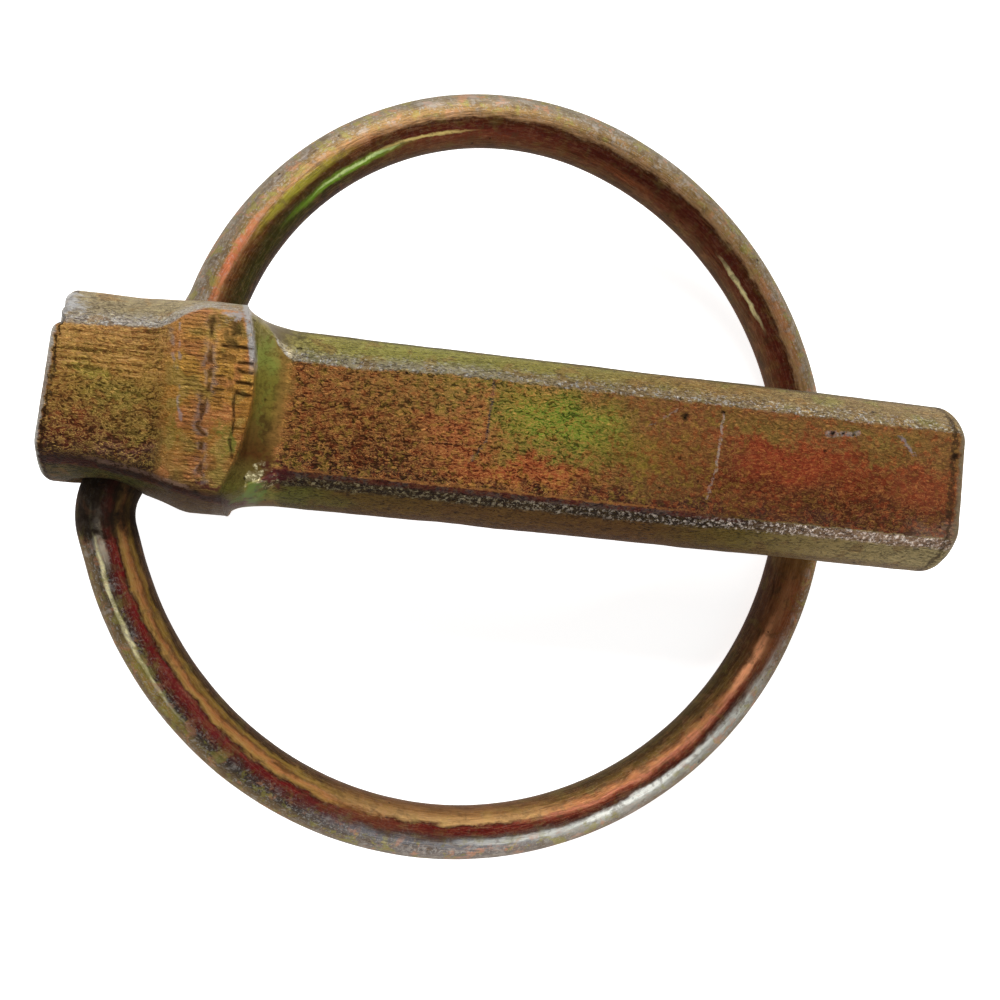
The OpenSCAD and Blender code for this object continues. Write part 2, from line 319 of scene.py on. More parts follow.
def collar_marks(x, y):
    """Torn teeth, seams and rubbed lines of the collar's face.

    Returns the height they take off, and how deep, torn and rubbed the metal is.
    """
    flat = np.stack([x, y, np.zeros_like(x)], -1)
    quiver = waves(flat, (0.5, 0.3, 1), seed=41)
    drift = x + 0.16 * waves(flat, (0.6, 0.5, 1), seed=43) + 0.08 * waves(flat, 0.22, seed=44)
    lumps = rough(flat, 0.42, seed=45, layers=2)
    # combed grooves beside the step, whose ends run aslant
    comb_from, comb_to = lambda p: -4.4 + (4 - p) * 0.11, lambda p: -2.95 + (4 - p) * 0.06
    first = strokes(x, y, comb_places(), comb_from, comb_to, 0.07, quiver)
    # broken grooves beyond the first seam
    broken = [(2.9, 0.9), (2.5, 0.7), (2.1, 0.5), (1.55, 0.8), (0.75, 1.0)]
    broken += [(0.38, 0.5), (0.15, 0.6), (-0.08, 0.5), (-3.1, 0.4), (-3.4, 0.5)]
    second = strokes(x, y, broken, lambda p: -2.4, lambda p: -1.55, 0.08, quiver)
    # the widest teeth, along the shoulder's front edge
    teeth = [(3.35, 1.0), (2.45, 1.0), (1.96, 0.9), (1.3, 1.0), (0.69, 1.0), (-1.3, 0.5)]
    teeth_from, teeth_to = lambda p: -2.2 if p > 3 else -1.2, lambda p: 0.15
    third = strokes(x, y, teeth, teeth_from, teeth_to, 0.12, quiver * 1.5)
    # torn seams between the rows, and the ragged hollow beside the widest teeth
    seam_line = [(-2.73, 4.9), (-2.7, 3.2), (-2.44, 1.1), (-2.85, 0.3), (-2.87, -1.2)]
    seam = line_gap(drift, y, seam_line + [(-2.6, -2.2), (-2.5, -4.4)])
    split_line = [(-1.06, 0.5), (-0.95, -1.2), (-1.02, -2.2), (-0.77, -3.2)]
    split = line_gap(drift * 0.4 + x * 0.6, y, split_line)
    torn = fade(seam, 0.16, 0.5) * ease(lumps, -0.4, 0.05)
    ragged = within(drift, -2.05, -0.95, 0.25) * within(y, 0.5, 5.0, 0.4)
    ragged = ragged * ease(lumps, -0.2, 0.35)
    seam_deep = fade(seam, 0.05, 0.24) * ease(lumps, -0.35, 0.1)
    split_deep = fade(split, 0.03, 0.1) * ease(lumps, -0.5, 0.0)
    depths = [first * 0.4, second * (1 - ragged), third, seam_deep, split_deep, ragged * 0.75]
    deep = np.maximum.reduce(depths)
    fall = 0.05 * first + 0.1 * second + 0.13 * third + 0.1 * fade(split, 0.02, 0.12)
    fall = np.maximum(fall, 0.12 * fade(seam, 0.05, 0.28) * ease(lumps, -0.6, 0.1))
    fall = np.maximum(fall, ragged * 0.12) - torn * 0.03 * fade(seam, 0.1, 0.3)
    # thin pale lines where the step's edge has rubbed
    step_foot = [(-4.62, 4.3), (-4.35, 2.0), (-4.05, 0.1), (-3.9, -1.2)]
    rub = np.minimum(
        line_gap(drift, y, [(-5.2, 4.3), (-4.5, 1.1)]), line_gap(drift, y, step_foot) * 1.2
    )
    rub = fade(rub, 0.04, 0.15) * ease(waves(flat, (0.5, 0.35, 1), seed=47), -0.35, 0.1)
    return fall, deep, torn, rub


def nick(grid):
    """How far in the outer end's broken corner lies, along the pin."""
    x, y, z = np.moveaxis(grid, -1, 0)
    notch = np.exp(-(((y - 4.0) / 0.3) ** 2)) + 0.4 * np.exp(-(((y - 4.9) / 0.5) ** 2))
    return NICK_DEPTH * notch * ease(z, 1.5, 3.6) * fade(x, -HEAD_LENGTH, -10.8)


def forged_skin():
    """Grid of points over the whole pin with its forging marks, and how marked each is."""
    x = pin_stations()
    y, z = pin_section(x)
    station = np.broadcast_to(x[:, None], y.shape)
    grid = np.stack([station - bow(station, y) + slant(station, y), y, z], -1)
    creases = np.zeros(grid.shape[1])
    creases[[FRONT_SIDE, FRONT_SIDE + FACE_POINTS]] = 1
    near = sum(np.roll(creases, k) for k in range(-5, 6))[None, :, None]
    grid = soften(grid, 0.5 * np.clip(near, 0, 1), rounds=12)
    normal = outward(grid)
    px, py, pz = np.moveaxis(grid, -1, 0)
    front = ease(normal[..., 2], 0.55, 0.9) * (pz > 0)
    on_head = fade(station, -0.4, 0.3)
    on_shank = ease(station, 1.6, 3.0)
    on_collar = within(station, -5.9, 0.1, 0.3)
    push = BLOWS * rough(grid, 4.0, seed=3) + LUMPS * rough(grid, (1.1, 0.8, 0.8), seed=5)
    push = push - PIN_DRAWN_IN
    # the pressed faces are scaly, with scale drawn out along the head
    push += front * SCALE * rough(grid, (0.9, 0.34, 0.5), seed=11)
    push += front * on_head * DRAWN_SCALE * rough(grid, (2.6, 0.26, 0.6), seed=13)
    lost = ease(rough(grid, (0.8, 0.45, 0.6), seed=17), 0.45, 0.9)
    push -= SCALE_PITS * front * on_shank * lost
    fall, deep, torn, rub = collar_marks(px, py)
    shown = front * on_collar * fade(np.abs(py - 0.1), 4.6, 5.3)
    push -= fall * shown
    marks = np.stack([deep * shown, torn * shown, rub * front], -1)
    grid = grid + normal * push[..., None]
    grid[..., 0] += nick(grid)
    return grid, marks


def skin_mesh(name, grid):
    """A mesh over a grid of points closed round its second axis, with flat ends."""
    rows, count = grid.shape[:2]
    points = [grid.reshape(-1, 3)]
    index = np.arange(rows * count).reshape(rows, count)
    turned = np.roll(index, -1, 1)
    quads = np.stack([index[:-1], turned[:-1], turned[1:], index[1:]], -1)
    faces = quads.reshape(-1, 4).tolist()
    made = rows * count
    for row, order in ((0, 1), (rows - 1, -1)):
        centre, base = grid[row].mean(0), index[row]
        for share in (0.86, 0.66, 0.4):
            points.append(mix(centre, grid[row], share))
            inner = np.arange(made, made + count)
            made += count
            strip = np.stack([base, inner, np.roll(inner, -1), np.roll(base, -1)], -1)
            faces += strip[:, ::order].tolist()
            base = inner
        points.append(centre[None, :])
        fan = np.stack([base, np.full(count, made), np.roll(base, -1)], -1)
        faces += fan[:, ::order].tolist()
        made += 1
    mesh = bpy.data.meshes.new(name)
    mesh.from_pydata(np.concatenate(points).tolist(), [], faces)
    mesh.update()
    return mesh


def hole_matrix():
    """Places something built along +Y onto the hole's axis."""
    return (
        Matrix.Translation((-HOLE_BACK, 0, 0))
        @ Matrix.Rotation(math.radians(-HOLE_SLANT), 4, "Z")
        @ Matrix.Rotation(math.radians(-HOLE_LEAN), 4, "X")
    )


def bore_cutter():
    """Solid of the hole, its mouths worn open in a rounded funnel."""
    steps = 8
    profile = []
    for side_reach, sign in ((HEAD_BOTTOM, -1), (COLLAR_TOP, 1)):
        mouth = side_reach / math.cos(math.radians(HOLE_SLANT))
        funnel = []
        for k in range(steps + 1):
            t = k / steps
            along = mouth - FUNNEL_DEPTH + 2 * FUNNEL_DEPTH * t
            funnel.append((sign * along, HOLE_R + FUNNEL_OPEN * t**FUNNEL_CURVE))
        funnel.append((sign * (mouth + CUTTER_PAST), HOLE_R + FUNNEL_OPEN))
        profile += funnel[::sign]
    turn = np.linspace(0, 2 * math.pi, HOLE_SIDES, endpoint=False)
    rings = [
        np.stack([r * np.cos(turn), np.full(HOLE_SIDES, y), r * np.sin(turn)], -1)
        for y, r in profile
    ]
    mesh = skin_mesh("bore", np.array(rings))
    mesh.transform(hole_matrix())
    return mesh


def shaded(mesh, sharp_angle):
    """Smooth shading, with edges sharper than an angle in degrees kept crisp."""
    for polygon in mesh.polygons:
        polygon.use_smooth = True
    mesh.set_sharp_from_angle(angle=math.radians(sharp_angle))


def face_outwards(mesh):
    work = bmesh.new()
    work.from_mesh(mesh)
    bmesh.ops.recalc_face_normals(work, faces=work.faces)
    work.to_mesh(mesh)
    work.free()


def stood(name, data):
    """A new object in the scene."""
    thing = bpy.data.objects.new(name, data)
    bpy.context.scene.collection.objects.link(thing)
    return thing


def placed(name, mesh):
    """An object from a mesh in millimetres from the shoulder, moved into the part's frame."""
    mesh.transform(Matrix.Scale(MM, 4) @ Matrix.Translation((-NECK_LENGTH, 0, 0)))
    return stood(name, mesh)


def make_pin():
    """The forging, drilled for the ring's ends."""
    grid, marks = forged_skin()
    skin = skin_mesh("forged_pin", grid)
    spread = np.zeros((len(skin.vertices), 3), np.float32)
    spread[: marks.shape[0] * marks.shape[1]] = marks.reshape(-1, 3)
    kept = skin.attributes.new("collar_marks", "FLOAT_VECTOR", "POINT")
    kept.data.foreach_set("vector", spread.ravel())
    face_outwards(skin)
    pin = placed("forged_pin", skin)
    bore = bore_cutter()
    face_outwards(bore)
    cutter = placed("bore", bore)
    cut = pin.modifiers.new("bore", "BOOLEAN")
    cut.operation = "DIFFERENCE"
    cut.object = cutter
    cut.solver = "EXACT"
    bpy.context.view_layer.update()
    drilled = bpy.data.meshes.new_from_object(
        pin.evaluated_get(bpy.context.evaluated_depsgraph_get())
    )
    pin.modifiers.clear()
    pin.data = drilled
    bpy.data.objects.remove(cutter)
    shaded(drilled, 50)
    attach(pin, "pin")
    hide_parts("pin")
    return pin


# ---- the wire ring


def towards(angle):
    return np.array([math.cos(math.radians(angle)), math.sin(math.radians(angle))])


def wire_path():
    """Stops along the wire in its own plane, each (place, heading), end to end."""
    place, heading = np.array([0.0, FIRST_BEND_AT]), 90.0
    stops = [(np.array([0.0, y]), 90.0) for y in np.linspace(END_GAP / 2, FIRST_BEND_AT, 12)]

    def bend(radius, turn):
        nonlocal place, heading
        length = math.radians(abs(turn)) * max(radius, TIGHT_BEND)
        steps = max(6, int(length / BEND_STEP))
        inward = heading - 90 * math.copysign(1, turn)
        centre = place + radius * towards(inward)
        for k in range(1, steps + 1):
            turned = turn * k / steps
            stops.append((centre - radius * towards(inward - turned), heading - turned))
        place, heading = stops[-1]

    for radius, turn in RING_ARCS:
        bend(radius, turn)
    # straight on until the last bend can end on the hole's axis
    sideways = LAST_BEND_R * (1 - math.cos(math.radians(heading - 90))) - place[0]
    place = place + sideways / math.cos(math.radians(heading)) * towards(heading)
    stops.append((place, heading))
    bend(LAST_BEND_R, heading + 270)
    for y in np.linspace(place[1], -END_GAP / 2, 10)[1:]:
        stops.append((np.array([0.0, y]), 90.0))
    return stops


def mark_along_wire(mesh, length):
    """UV of the wire: u runs along it from end to end and v round it."""
    around = np.arange(WIRE_SIDES + 1) / WIRE_SIDES
    corner = np.stack(np.meshgrid(length / length[-1], around, indexing="ij"), -1)
    sides = [corner[:-1, :-1], corner[:-1, 1:], corner[1:, 1:], corner[1:, :-1]]
    quads = np.stack(sides, 2).reshape(-1, 2)
    coords = np.zeros((len(mesh.loops), 2), np.float32)
    coords[: len(quads)] = quads
    mesh.uv_layers.new(name="along_wire").data.foreach_set("uv", coords.ravel())


def make_ring():
    """The sprung ring, its straight ends in the head's hole."""
    stops = wire_path()
    places = np.array([place for place, _ in stops])
    steps = np.linalg.norm(np.diff(places, axis=0), axis=1)
    length = np.concatenate([[0], np.cumsum(steps)])
    turn = np.linspace(0, 2 * math.pi, WIRE_SIDES, endpoint=False)
    over, up = WIRE_R * np.cos(turn), WIRE_R * np.sin(turn)
    rows = []
    for place, heading in stops:
        right = towards(heading + 90)
        rows.append(np.stack([place[0] + over * right[0], place[1] + over * right[1], up], -1))
    grid = np.array(rows)
    centre = np.stack([places[:, 0], places[:, 1], np.zeros(len(places))], -1)[:, None, :]
    radial = (grid - centre) / WIRE_R
    # a slight unevenness, none inside the head
    outside = ease(length, 7.5, 9.5) * fade(length, length[-1] - 8, length[-1] - 6)
    push = WIRE_WAVES * rough(grid, (3.5, 3.5, 2.0), seed=71)
    push = push + WIRE_GRAIN * rough(grid, 0.7, seed=73) - RING_DRAWN_IN
    grid = grid + radial * (push * outside[:, None])[..., None]
    mesh = skin_mesh("wire_ring", grid)
    mark_along_wire(mesh, length)
    face_outwards(mesh)
    mesh.transform(hole_matrix() @ Matrix.Rotation(math.radians(RING_TILT), 4, "Y"))
    ring = placed("wire_ring", mesh)
    shaded(mesh, 60)
    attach(ring, "ring")
    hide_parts("ring")
    return ring


pin = make_pin()
ring = make_ring()

# ---- finishes

WHITE = (1, 1, 1, 1)
ORIGIN = (0, 0, 0)


def hue(code):
    """A linear colour from its six-figure code."""
    parts = [int(code[k : k + 2], 16) / 255 for k in (0, 2, 4)]
    linear = [c / 12.92 if c <= 0.04045 else ((c + 0.055) / 1.055) ** 2.4 for c in parts]
    return (*linear, 1.0)


class Flow:
    """A value or colour passed between nodes, so that a finish reads as a sum."""

    def __init__(self, bench, socket):
        self.bench, self.socket = bench, socket

    __add__ = __radd__ = lambda self, other: self.bench.sum("ADD", self, other)
    __sub__ = lambda self, other: self.bench.sum("SUBTRACT", self, other)
    __rsub__ = lambda self, other: self.bench.sum("SUBTRACT", other, self)
    __mul__ = lambda self, other: self.bench.sum("MULTIPLY", self, other)
    __truediv__ = lambda self, other: self.bench.sum("DIVIDE", self, other)
    __rtruediv__ = lambda self, other: self.bench.sum("DIVIDE", other, self)
    __abs__ = lambda self: self.bench.sum("ABSOLUTE", self)

    def rise(self, start, end):
        """0 up to start and 1 from end on, or the other way round if start is larger."""
        ends = {"Value": self, "From Min": start, "From Max": end}
        return self.bench.flow("ShaderNodeMapRange", ends, interpolation_type="SMOOTHSTEP")

    def line(self, soft, crisp=0.0):
        """1 where the value is next to nothing, so a line of a width that soft sets."""
        return abs(self).rise(soft, crisp)

    def under(self, *layers):
        """This film with others over it, each a share and a film or a colour's code."""
        film = self
        for share, above in layers:
            film = self.bench.blend(share, film, above)
        return film

    def plus(self, drift, by):
        """This place moved along a drift."""
        return self.bench.vector("ADD", self, self.bench.scaled(drift, by))

    def ramp(self, stops):
        """A run of colours through stops, each a value and its colour's code."""
        node = self.bench.node("ShaderNodeValToRGB", {0: self})
        marks = node.color_ramp.elements
        while len(marks) < len(stops):
            marks.new(0.5)
        for mark, (at, code) in zip(marks, stops.items()):
            mark.position, mark.color = at, hue(code)
        return Flow(self.bench, node.outputs["Color"])


class Bench:
    """Lays out and joins the nodes of one finish or effect."""

    def __init__(self, tree):
        self.tree = tree

    def node(self, kind, values=None, **settings):
        node = self.tree.nodes.new(kind)
        for key, value in settings.items():
            setattr(node, key, value)
        for key, value in (values or {}).items():
            self.feed(value, node.inputs[key])
        return node

    def flow(self, kind, values=None, output=0, **settings):
        """One output of a new node."""
        return Flow(self, self.node(kind, values, **settings).outputs[output])

    def feed(self, value, socket):
        """Joins a value to a socket, or sets the socket to a number, vector or code."""
        if isinstance(value, Flow):
            self.tree.links.new(value.socket, socket)
        else:
            socket.default_value = hue(value) if isinstance(value, str) else value

    def sum(self, kind, a, b=0.0):
        return self.flow("ShaderNodeMath", {0: a, 1: b}, operation=kind)

    def vector(self, kind, a, b=ORIGIN, output=0):
        return self.flow("ShaderNodeVectorMath", {0: a, 1: b}, output, operation=kind)

    def scaled(self, vector, by):
        return self.flow("ShaderNodeVectorMath", {0: vector, "Scale": by}, operation="SCALE")

    def joined(self, x, y, z=0.0):
        return self.flow("ShaderNodeCombineXYZ", {0: x, 1: y, 2: z})

    def parts(self, vector):
        node = self.node("ShaderNodeSeparateXYZ", {0: vector})
        return [Flow(self, output) for output in node.outputs]

    def noise(self, place, scale, detail, roughness, distortion=0.0, output="Fac"):
        values = {"Vector": place, "Scale": scale, "Detail": detail, "Roughness": roughness}
        return self.flow("ShaderNodeTexNoise", {**values, "Distortion": distortion}, output)

    def drift(self, place, *settings):
        """Three noises at once, each about zero."""
        return self.vector("SUBTRACT", self.noise(place, *settings, output="Color"), (0.5,) * 3)

    def blend(self, share, below, above):
        """A mix of two colours, by the node's sockets for colours."""
        mixed = {"Factor": share, 6: below, 7: above}
        return self.flow("ShaderNodeMix", mixed, 2, data_type="RGBA", blend_type="MIX")

    def effect(self, group, **values):
        """One of the shared effects, with this finish's own values."""
        node = self.node("ShaderNodeGroup", values, node_tree=group)
        return {output.name: Flow(self, output) for output in node.outputs}

    def mask(self, group, **values):
        return self.effect(group, **values)["Mask"]


def shared_effect(**inputs):
    """Turns a function into a shared effect with named inputs and outputs."""

    def make(build):
        tree = bpy.data.node_groups.new(build.__name__, "ShaderNodeTree")
        for label, value in inputs.items():
            kind = "NodeSocketFloat" if isinstance(value, float) else "NodeSocketVector"
            socket = tree.interface.new_socket(label, in_out="INPUT", socket_type=kind)
            socket.default_value = value
        bench = Bench(tree)
        source = tree.nodes.new("NodeGroupInput")
        results = build(bench, *(Flow(bench, source.outputs[label]) for label in inputs))
        for label in results:
            tree.interface.new_socket(label, in_out="OUTPUT", socket_type="NodeSocketFloat")
        sink = tree.nodes.new("NodeGroupOutput")
        for label, flow in results.items():
            bench.feed(flow, sink.inputs[label])
        return tree

    return make


@shared_effect(Place=ORIGIN, Centre=ORIGIN, Reach=(1, 1, 1), Core=0.35)
def stain_and_light(b, place, centre, reach, core):
    """A soft-edged patch round a place on the piece: stains of other film and pits, and also
    painted highlights and painted shade.
    """
    away = b.vector("DIVIDE", b.vector("SUBTRACT", place, centre), reach)
    return {"Mask": b.vector("LENGTH", away, output="Value").rise(1.25, core)}


@shared_effect(Place=ORIGIN, Along=0.6, Across=0.2, Curl=0.6)
def scale_grain(b, place, along, across, curl):
    """Scale drawn out along the piece: its height, hollows and wandering crests."""
    x, y, z = b.parts(place)
    height = b.noise(b.joined(x / along, y / across, z / across), 1.0, 3.0, 0.62, curl)
    return {
        "Height": height,
        "Hollows": height.rise(0.5, 0.38),
        "Crests": (height - 0.56).line(0.04),
    }


@shared_effect(Place=ORIGIN, Spacing=1.0, Size=0.15, Fewer=0.3)
def pitting(b, place, spacing, size, fewer):
    """Scattered pits of uneven size."""
    cells = b.node("ShaderNodeTexVoronoi", {"Vector": place, "Scale": 1.0 / spacing})
    chance, uneven, _ = b.parts(Flow(b, cells.outputs["Color"]))
    edge = size * (uneven * 0.8 + 0.5)
    inside = (Flow(b, cells.outputs["Distance"]) / edge).rise(1.0, 0.5)
    return {"Mask": inside * chance.rise(fewer, fewer + 0.15)}


@shared_effect(Place=ORIGIN, From=ORIGIN, To=(1, 0, 0), Width=0.08)
def scratch(b, place, start, end, width):
    """One wandering scratch between two places."""
    run, away = b.vector("SUBTRACT", end, start), b.vector("SUBTRACT", place, start)
    share = b.vector("DOT_PRODUCT", away, run, "Value") / b.vector(
        "DOT_PRODUCT", run, run, "Value"
    )
    nearest = b.scaled(run, b.flow("ShaderNodeClamp", {0: share}))
    gap = b.vector("LENGTH", b.vector("SUBTRACT", away, nearest), output="Value")
    return {"Mask": (gap / width).rise(1.0, 0.35)}


@shared_effect(Place=ORIGIN, Size=1.0, Amount=0.3)
def zinc_bloom(b, place, size, amount):
    """Pale zinc showing through the film in a fine mottle."""
    level = b.noise(place, 4.6 / size, 3, 0.72, 0.5) + amount * 0.3
    return {"Mask": level.rise(0.6, 0.74)}


def start_finish(name):
    """A new finish: its shader, and the place on the piece in mm from the shoulder."""
    material = bpy.data.materials.new(name)
    material.use_nodes = True
    material.node_tree.nodes.clear()
    b = Bench(material.node_tree)
    shader = b.node("ShaderNodeBsdfPrincipled")
    b.node("ShaderNodeOutputMaterial", {"Surface": Flow(b, shader.outputs[0])})
    shader.inputs["Specular IOR Level"].default_value = 0.12
    shader.inputs["Specular Tint"].default_value = (0.42, 0.34, 0.24, 1)
    held = b.flow("ShaderNodeTexCoord", output="Object")
    place = b.vector("MULTIPLY", held, (1 / MM,) * 3)
    return material, b, shader, b.vector("ADD", place, (NECK_LENGTH, 0, 0))


def end_finish(b, shader, film, roughness, metal, height):
    """Joins a finish's film, roughness and relief to its shader."""
    b.feed(film, shader.inputs["Base Color"])
    b.feed(roughness, shader.inputs["Roughness"])
    shader.inputs["Metallic"].default_value = metal
    bump = b.flow("ShaderNodeBump", {"Strength": 1.0, "Distance": MM, "Height": height})
    b.feed(bump, shader.inputs["Normal"])


# How deep a patch goes, how wide a face its ramp covers, and how high the neck's face lies
PATCH_DEPTH = 6.0
HEAD_SPAN, COLLAR_SPAN = 8.4, 10.6
NECK_FACE = 4.8


def patched(film, place, height, patches):
    """Film with patches at one height: each its x, y, length, width, colour and strength."""
    for x, y, length, width, code, strength in patches:
        around = {"Centre": (x, y, height), "Reach": (length, width, PATCH_DEPTH)}
        patch = film.bench.mask(stain_and_light, Place=place, **around)
        film = film.under((patch * strength, code))
    return film


def shank_film(b, x, y, ragged, wandering, broken):
    """Stained chromate of the shank's flat face, from the neck to the tip."""
    along = x / SHANK_LENGTH
    upper = along.ramp({
        0.05: "855632", 0.16: "92683a", 0.32: "8a7a3c", 0.45: "86693a", 0.58: "845533",
        0.76: "79512f", 1.0: "7c5733",
    })
    central = along.ramp({
        0.05: "7c4f2d", 0.14: "744829", 0.26: "95693a", 0.4: "7f7a36", 0.54: "82602f",
        0.66: "70402a", 0.82: "683520", 1.0: "7b4c2e",
    })
    lower = along.ramp({
        0.05: "6b482b", 0.14: "583721", 0.24: "74472d", 0.36: "8b5a33", 0.52: "725430",
        0.68: "643722", 0.84: "532d1c", 1.0: "5e3a27",
    })
    rim = along.ramp({
        0.05: "4d3226", 0.3: "5c3d2a", 0.6: "4c2f24", 0.9: "4e3026", 1.0: "80695a",
    })
    face = upper.under(
        (y.rise(1.9, 0.3), central),
        (y.rise(-0.5, -1.9), lower),
        (y.rise(-2.3, -3.2), rim),
    )
    face = patched(face, ragged, FLAT_HEIGHT, (
        (12.0, -0.2, 2.6, 1.6, "ad5f3c", 0.8), (12.8, 1.6, 1.5, 0.9, "a5633e", 0.6),
        (16.0, -2.0, 5.0, 0.9, "b05a36", 0.85), (18.2, 1.3, 4.2, 1.9, "7f9c38", 0.9),
        (15.4, 2.6, 2.0, 0.9, "8f8838", 0.65), (22.0, 0.0, 2.2, 1.2, "6f6a2c", 0.5),
        (5.4, -2.2, 3.6, 0.7, "4b3020", 0.6), (30.0, 2.6, 4.0, 0.6, "75602f", 0.6),
        (38.5, 2.7, 4.0, 0.6, "756431", 0.6), (33.0, 0.4, 4.8, 1.5, "8c3a24", 0.8),
        (30.0, -1.2, 3.4, 0.9, "582416", 0.65), (36.0, -1.9, 3.6, 0.9, "4a2617", 0.55),
        (41.6, -0.6, 2.0, 1.6, "86402a", 0.7), (37.6, -0.4, 2.6, 0.9, "6a2c1a", 0.7),
        (39.0, 1.4, 2.4, 0.8, "6c5428", 0.6), (31.0, 1.9, 2.0, 0.7, "7a6430", 0.6),
    ))
    # scratches: their two ends, width, colour and strength
    for start, end, width, code, strength in (
        ((13.95, 3.3), (13.8, -0.4), 0.17, "4d4647", 0.85),
        ((13.8, -0.4), (12.9, -1.8), 0.15, "5a5252", 0.8),
        ((6.9, -1.0), (15.7, -0.66), 0.13, "321b0f", 0.9),
        ((7.2, -0.86), (13.0, -0.7), 0.08, "c88a58", 0.7),
        ((28.25, 2.85), (28.1, -0.4), 0.13, "a8988c", 0.75),
        ((28.1, -0.4), (27.65, -2.4), 0.11, "a08c80", 0.7),
        ((35.0, 2.35), (36.9, 2.6), 0.28, "8f8a88", 0.7),
        ((39.7, 2.8), (40.75, 1.7), 0.18, "918b94", 0.7),
        ((23.6, 1.6), (25.5, 2.9), 0.1, "9a8f88", 0.5),
        ((5.0, 3.15), (9.5, 3.2), 0.17, "2a2322", 0.75),
    ):
        ends = {"From": (*start, FLAT_HEIGHT), "To": (*end, FLAT_HEIGHT)}
        line = b.mask(scratch, Place=wandering, **ends, Width=width)
        face = face.under((line * broken * strength, code))
    return face


def head_film(y, ragged):
    """Golden chromate of the head's face, darker and redder towards its lower edge."""
    face = (y / HEAD_SPAN + 0.5).ramp({
        0.02: "35241c", 0.1: "4c3327", 0.2: "673f2a", 0.38: "7f5a30", 0.52: "8c6a32",
        0.7: "b68846", 0.9: "b4854c",
    })
    return patched(face, ragged, HEAD_FACE, (
        (-9.2, 1.4, 1.6, 0.7, "98923e", 0.7), (-7.4, 0.0, 2.2, 1.2, "746a2f", 0.75),
        (-9.9, -1.7, 1.1, 0.6, "7c3c28", 0.75), (-6.4, -1.9, 1.8, 0.8, "7a6a30", 0.6),
        (-10.9, 0.2, 0.8, 1.6, "8b5c33", 0.6), (-10.6, -2.9, 1.4, 0.35, "5e221f", 0.75),
        (-6.6, -3.3, 2.4, 0.4, "704a42", 0.6), (-7.0, 3.6, 2.0, 0.5, "9c6c40", 0.5),
    ))


def collar_film(y, tone, marks, comb, ragged, fine):
    """Rubbed chromate of the collar's torn face."""
    deep, torn, rub = marks
    face = (y / COLLAR_SPAN + 0.5).ramp({
        0.06: "866737", 0.2: "986c35", 0.36: "9c6c31", 0.52: "af7a37", 0.68: "bf8f40",
        0.86: "ca934b", 0.97: "c28651",
    })
    face = face.under(
        (tone.rise(0.5, 0.62) * 0.75, "b47245"),
        (tone.rise(0.48, 0.38) * 0.7, "928140"),
        # darker hollows and paler crests of the fine scale: partly its own colour, partly painted
        # shade and highlight
        (fine["Hollows"] * 0.5, "5c4023"), (fine["Crests"] * 0.5, "d7a96a"),
    )
    face = patched(face, ragged, COLLAR_FACE, (
        (-1.3, -2.4, 0.5, 1.2, "777a34", 0.7), (-4.3, -1.6, 0.5, 1.6, "77702f", 0.5),
        (-1.9, -4.85, 1.1, 0.34, "4e1c22", 0.85), (-3.8, 4.9, 0.9, 0.5, "b07854", 0.7),
        (-1.5, 4.0, 0.7, 0.7, "6a5c30", 0.6), (-1.3, 4.9, 1.2, 0.45, "a9a6a4", 0.85),
    ))
    return face.under(
        (comb * 0.7, "3a2512"),
        (torn * (1 - deep) * tone.rise(0.38, 0.5) * 0.55, "8a7f7c"),
        (deep * 0.78, "3a281a"), (rub * 0.6, "968c8c"),
    )


def neck_film(y, ragged):
    """Smooth green film in the hollow of the neck."""
    film = (y / COLLAR_SPAN + 0.5).ramp({
        0.05: "66602c", 0.16: "6a5a2c", 0.24: "57361a", 0.38: "6c5428", 0.52: "7b6c2e",
        0.66: "7b7230", 0.8: "8a8640", 0.92: "857a48",
    })
    return patched(film, ragged, NECK_FACE, (
        (0.9, -1.2, 0.5, 0.8, "46341a", 0.7), (0.45, 3.2, 0.5, 1.2, "77853c", 0.5),
        (0.4, 0.2, 0.3, 1.8, "6f7432", 0.4), (1.2, 1.0, 0.3, 0.5, "4e4420", 0.5),
    ))


def upper_film(along, above, x, wobble, specks, hollows, crests, ragged):
    """The rounded upper side: grey by the crease, partly zinc and partly a painted highlight,
    and yellow-green above it.
    """
    grey = along.ramp({
        0.0: "a9a098", 0.19: "a39a8e", 0.26: "a3977d", 0.42: "a59b7f", 0.57: "957d5a",
        0.75: "846f54", 1.0: "8d7651",
    })
    green = along.ramp({
        0.0: "96876c", 0.18: "9a8c6c", 0.26: "a59c51", 0.38: "9e9c4d", 0.54: "9a9148",
        0.68: "957642", 0.8: "7d6642", 1.0: "887151",
    })
    film = grey.under(
        (above.rise(0.25, 1.05), green),
        (wobble.rise(0.04, 0.14) * 0.55, "97703f"),
        (wobble.rise(-0.04, -0.16) * x.rise(0.0, 2.0) * 0.5, "7f8040"),
        (specks * above.rise(1.3, 0.2) * 0.95, "c8c5c2"),
        # darker hollows and paler crests: partly the scale's own colour, partly painted shade and
        # highlight
        (hollows * 0.7, "4f4230"), (crests * 0.5, "c8ba84"),
    )
    # a patch of painted shade in the notch where the upper side meets the collar
    return patched(film, ragged, 3.6, [(0.8, 4.8, 1.5, 1.0, "4a4026", 0.85)])


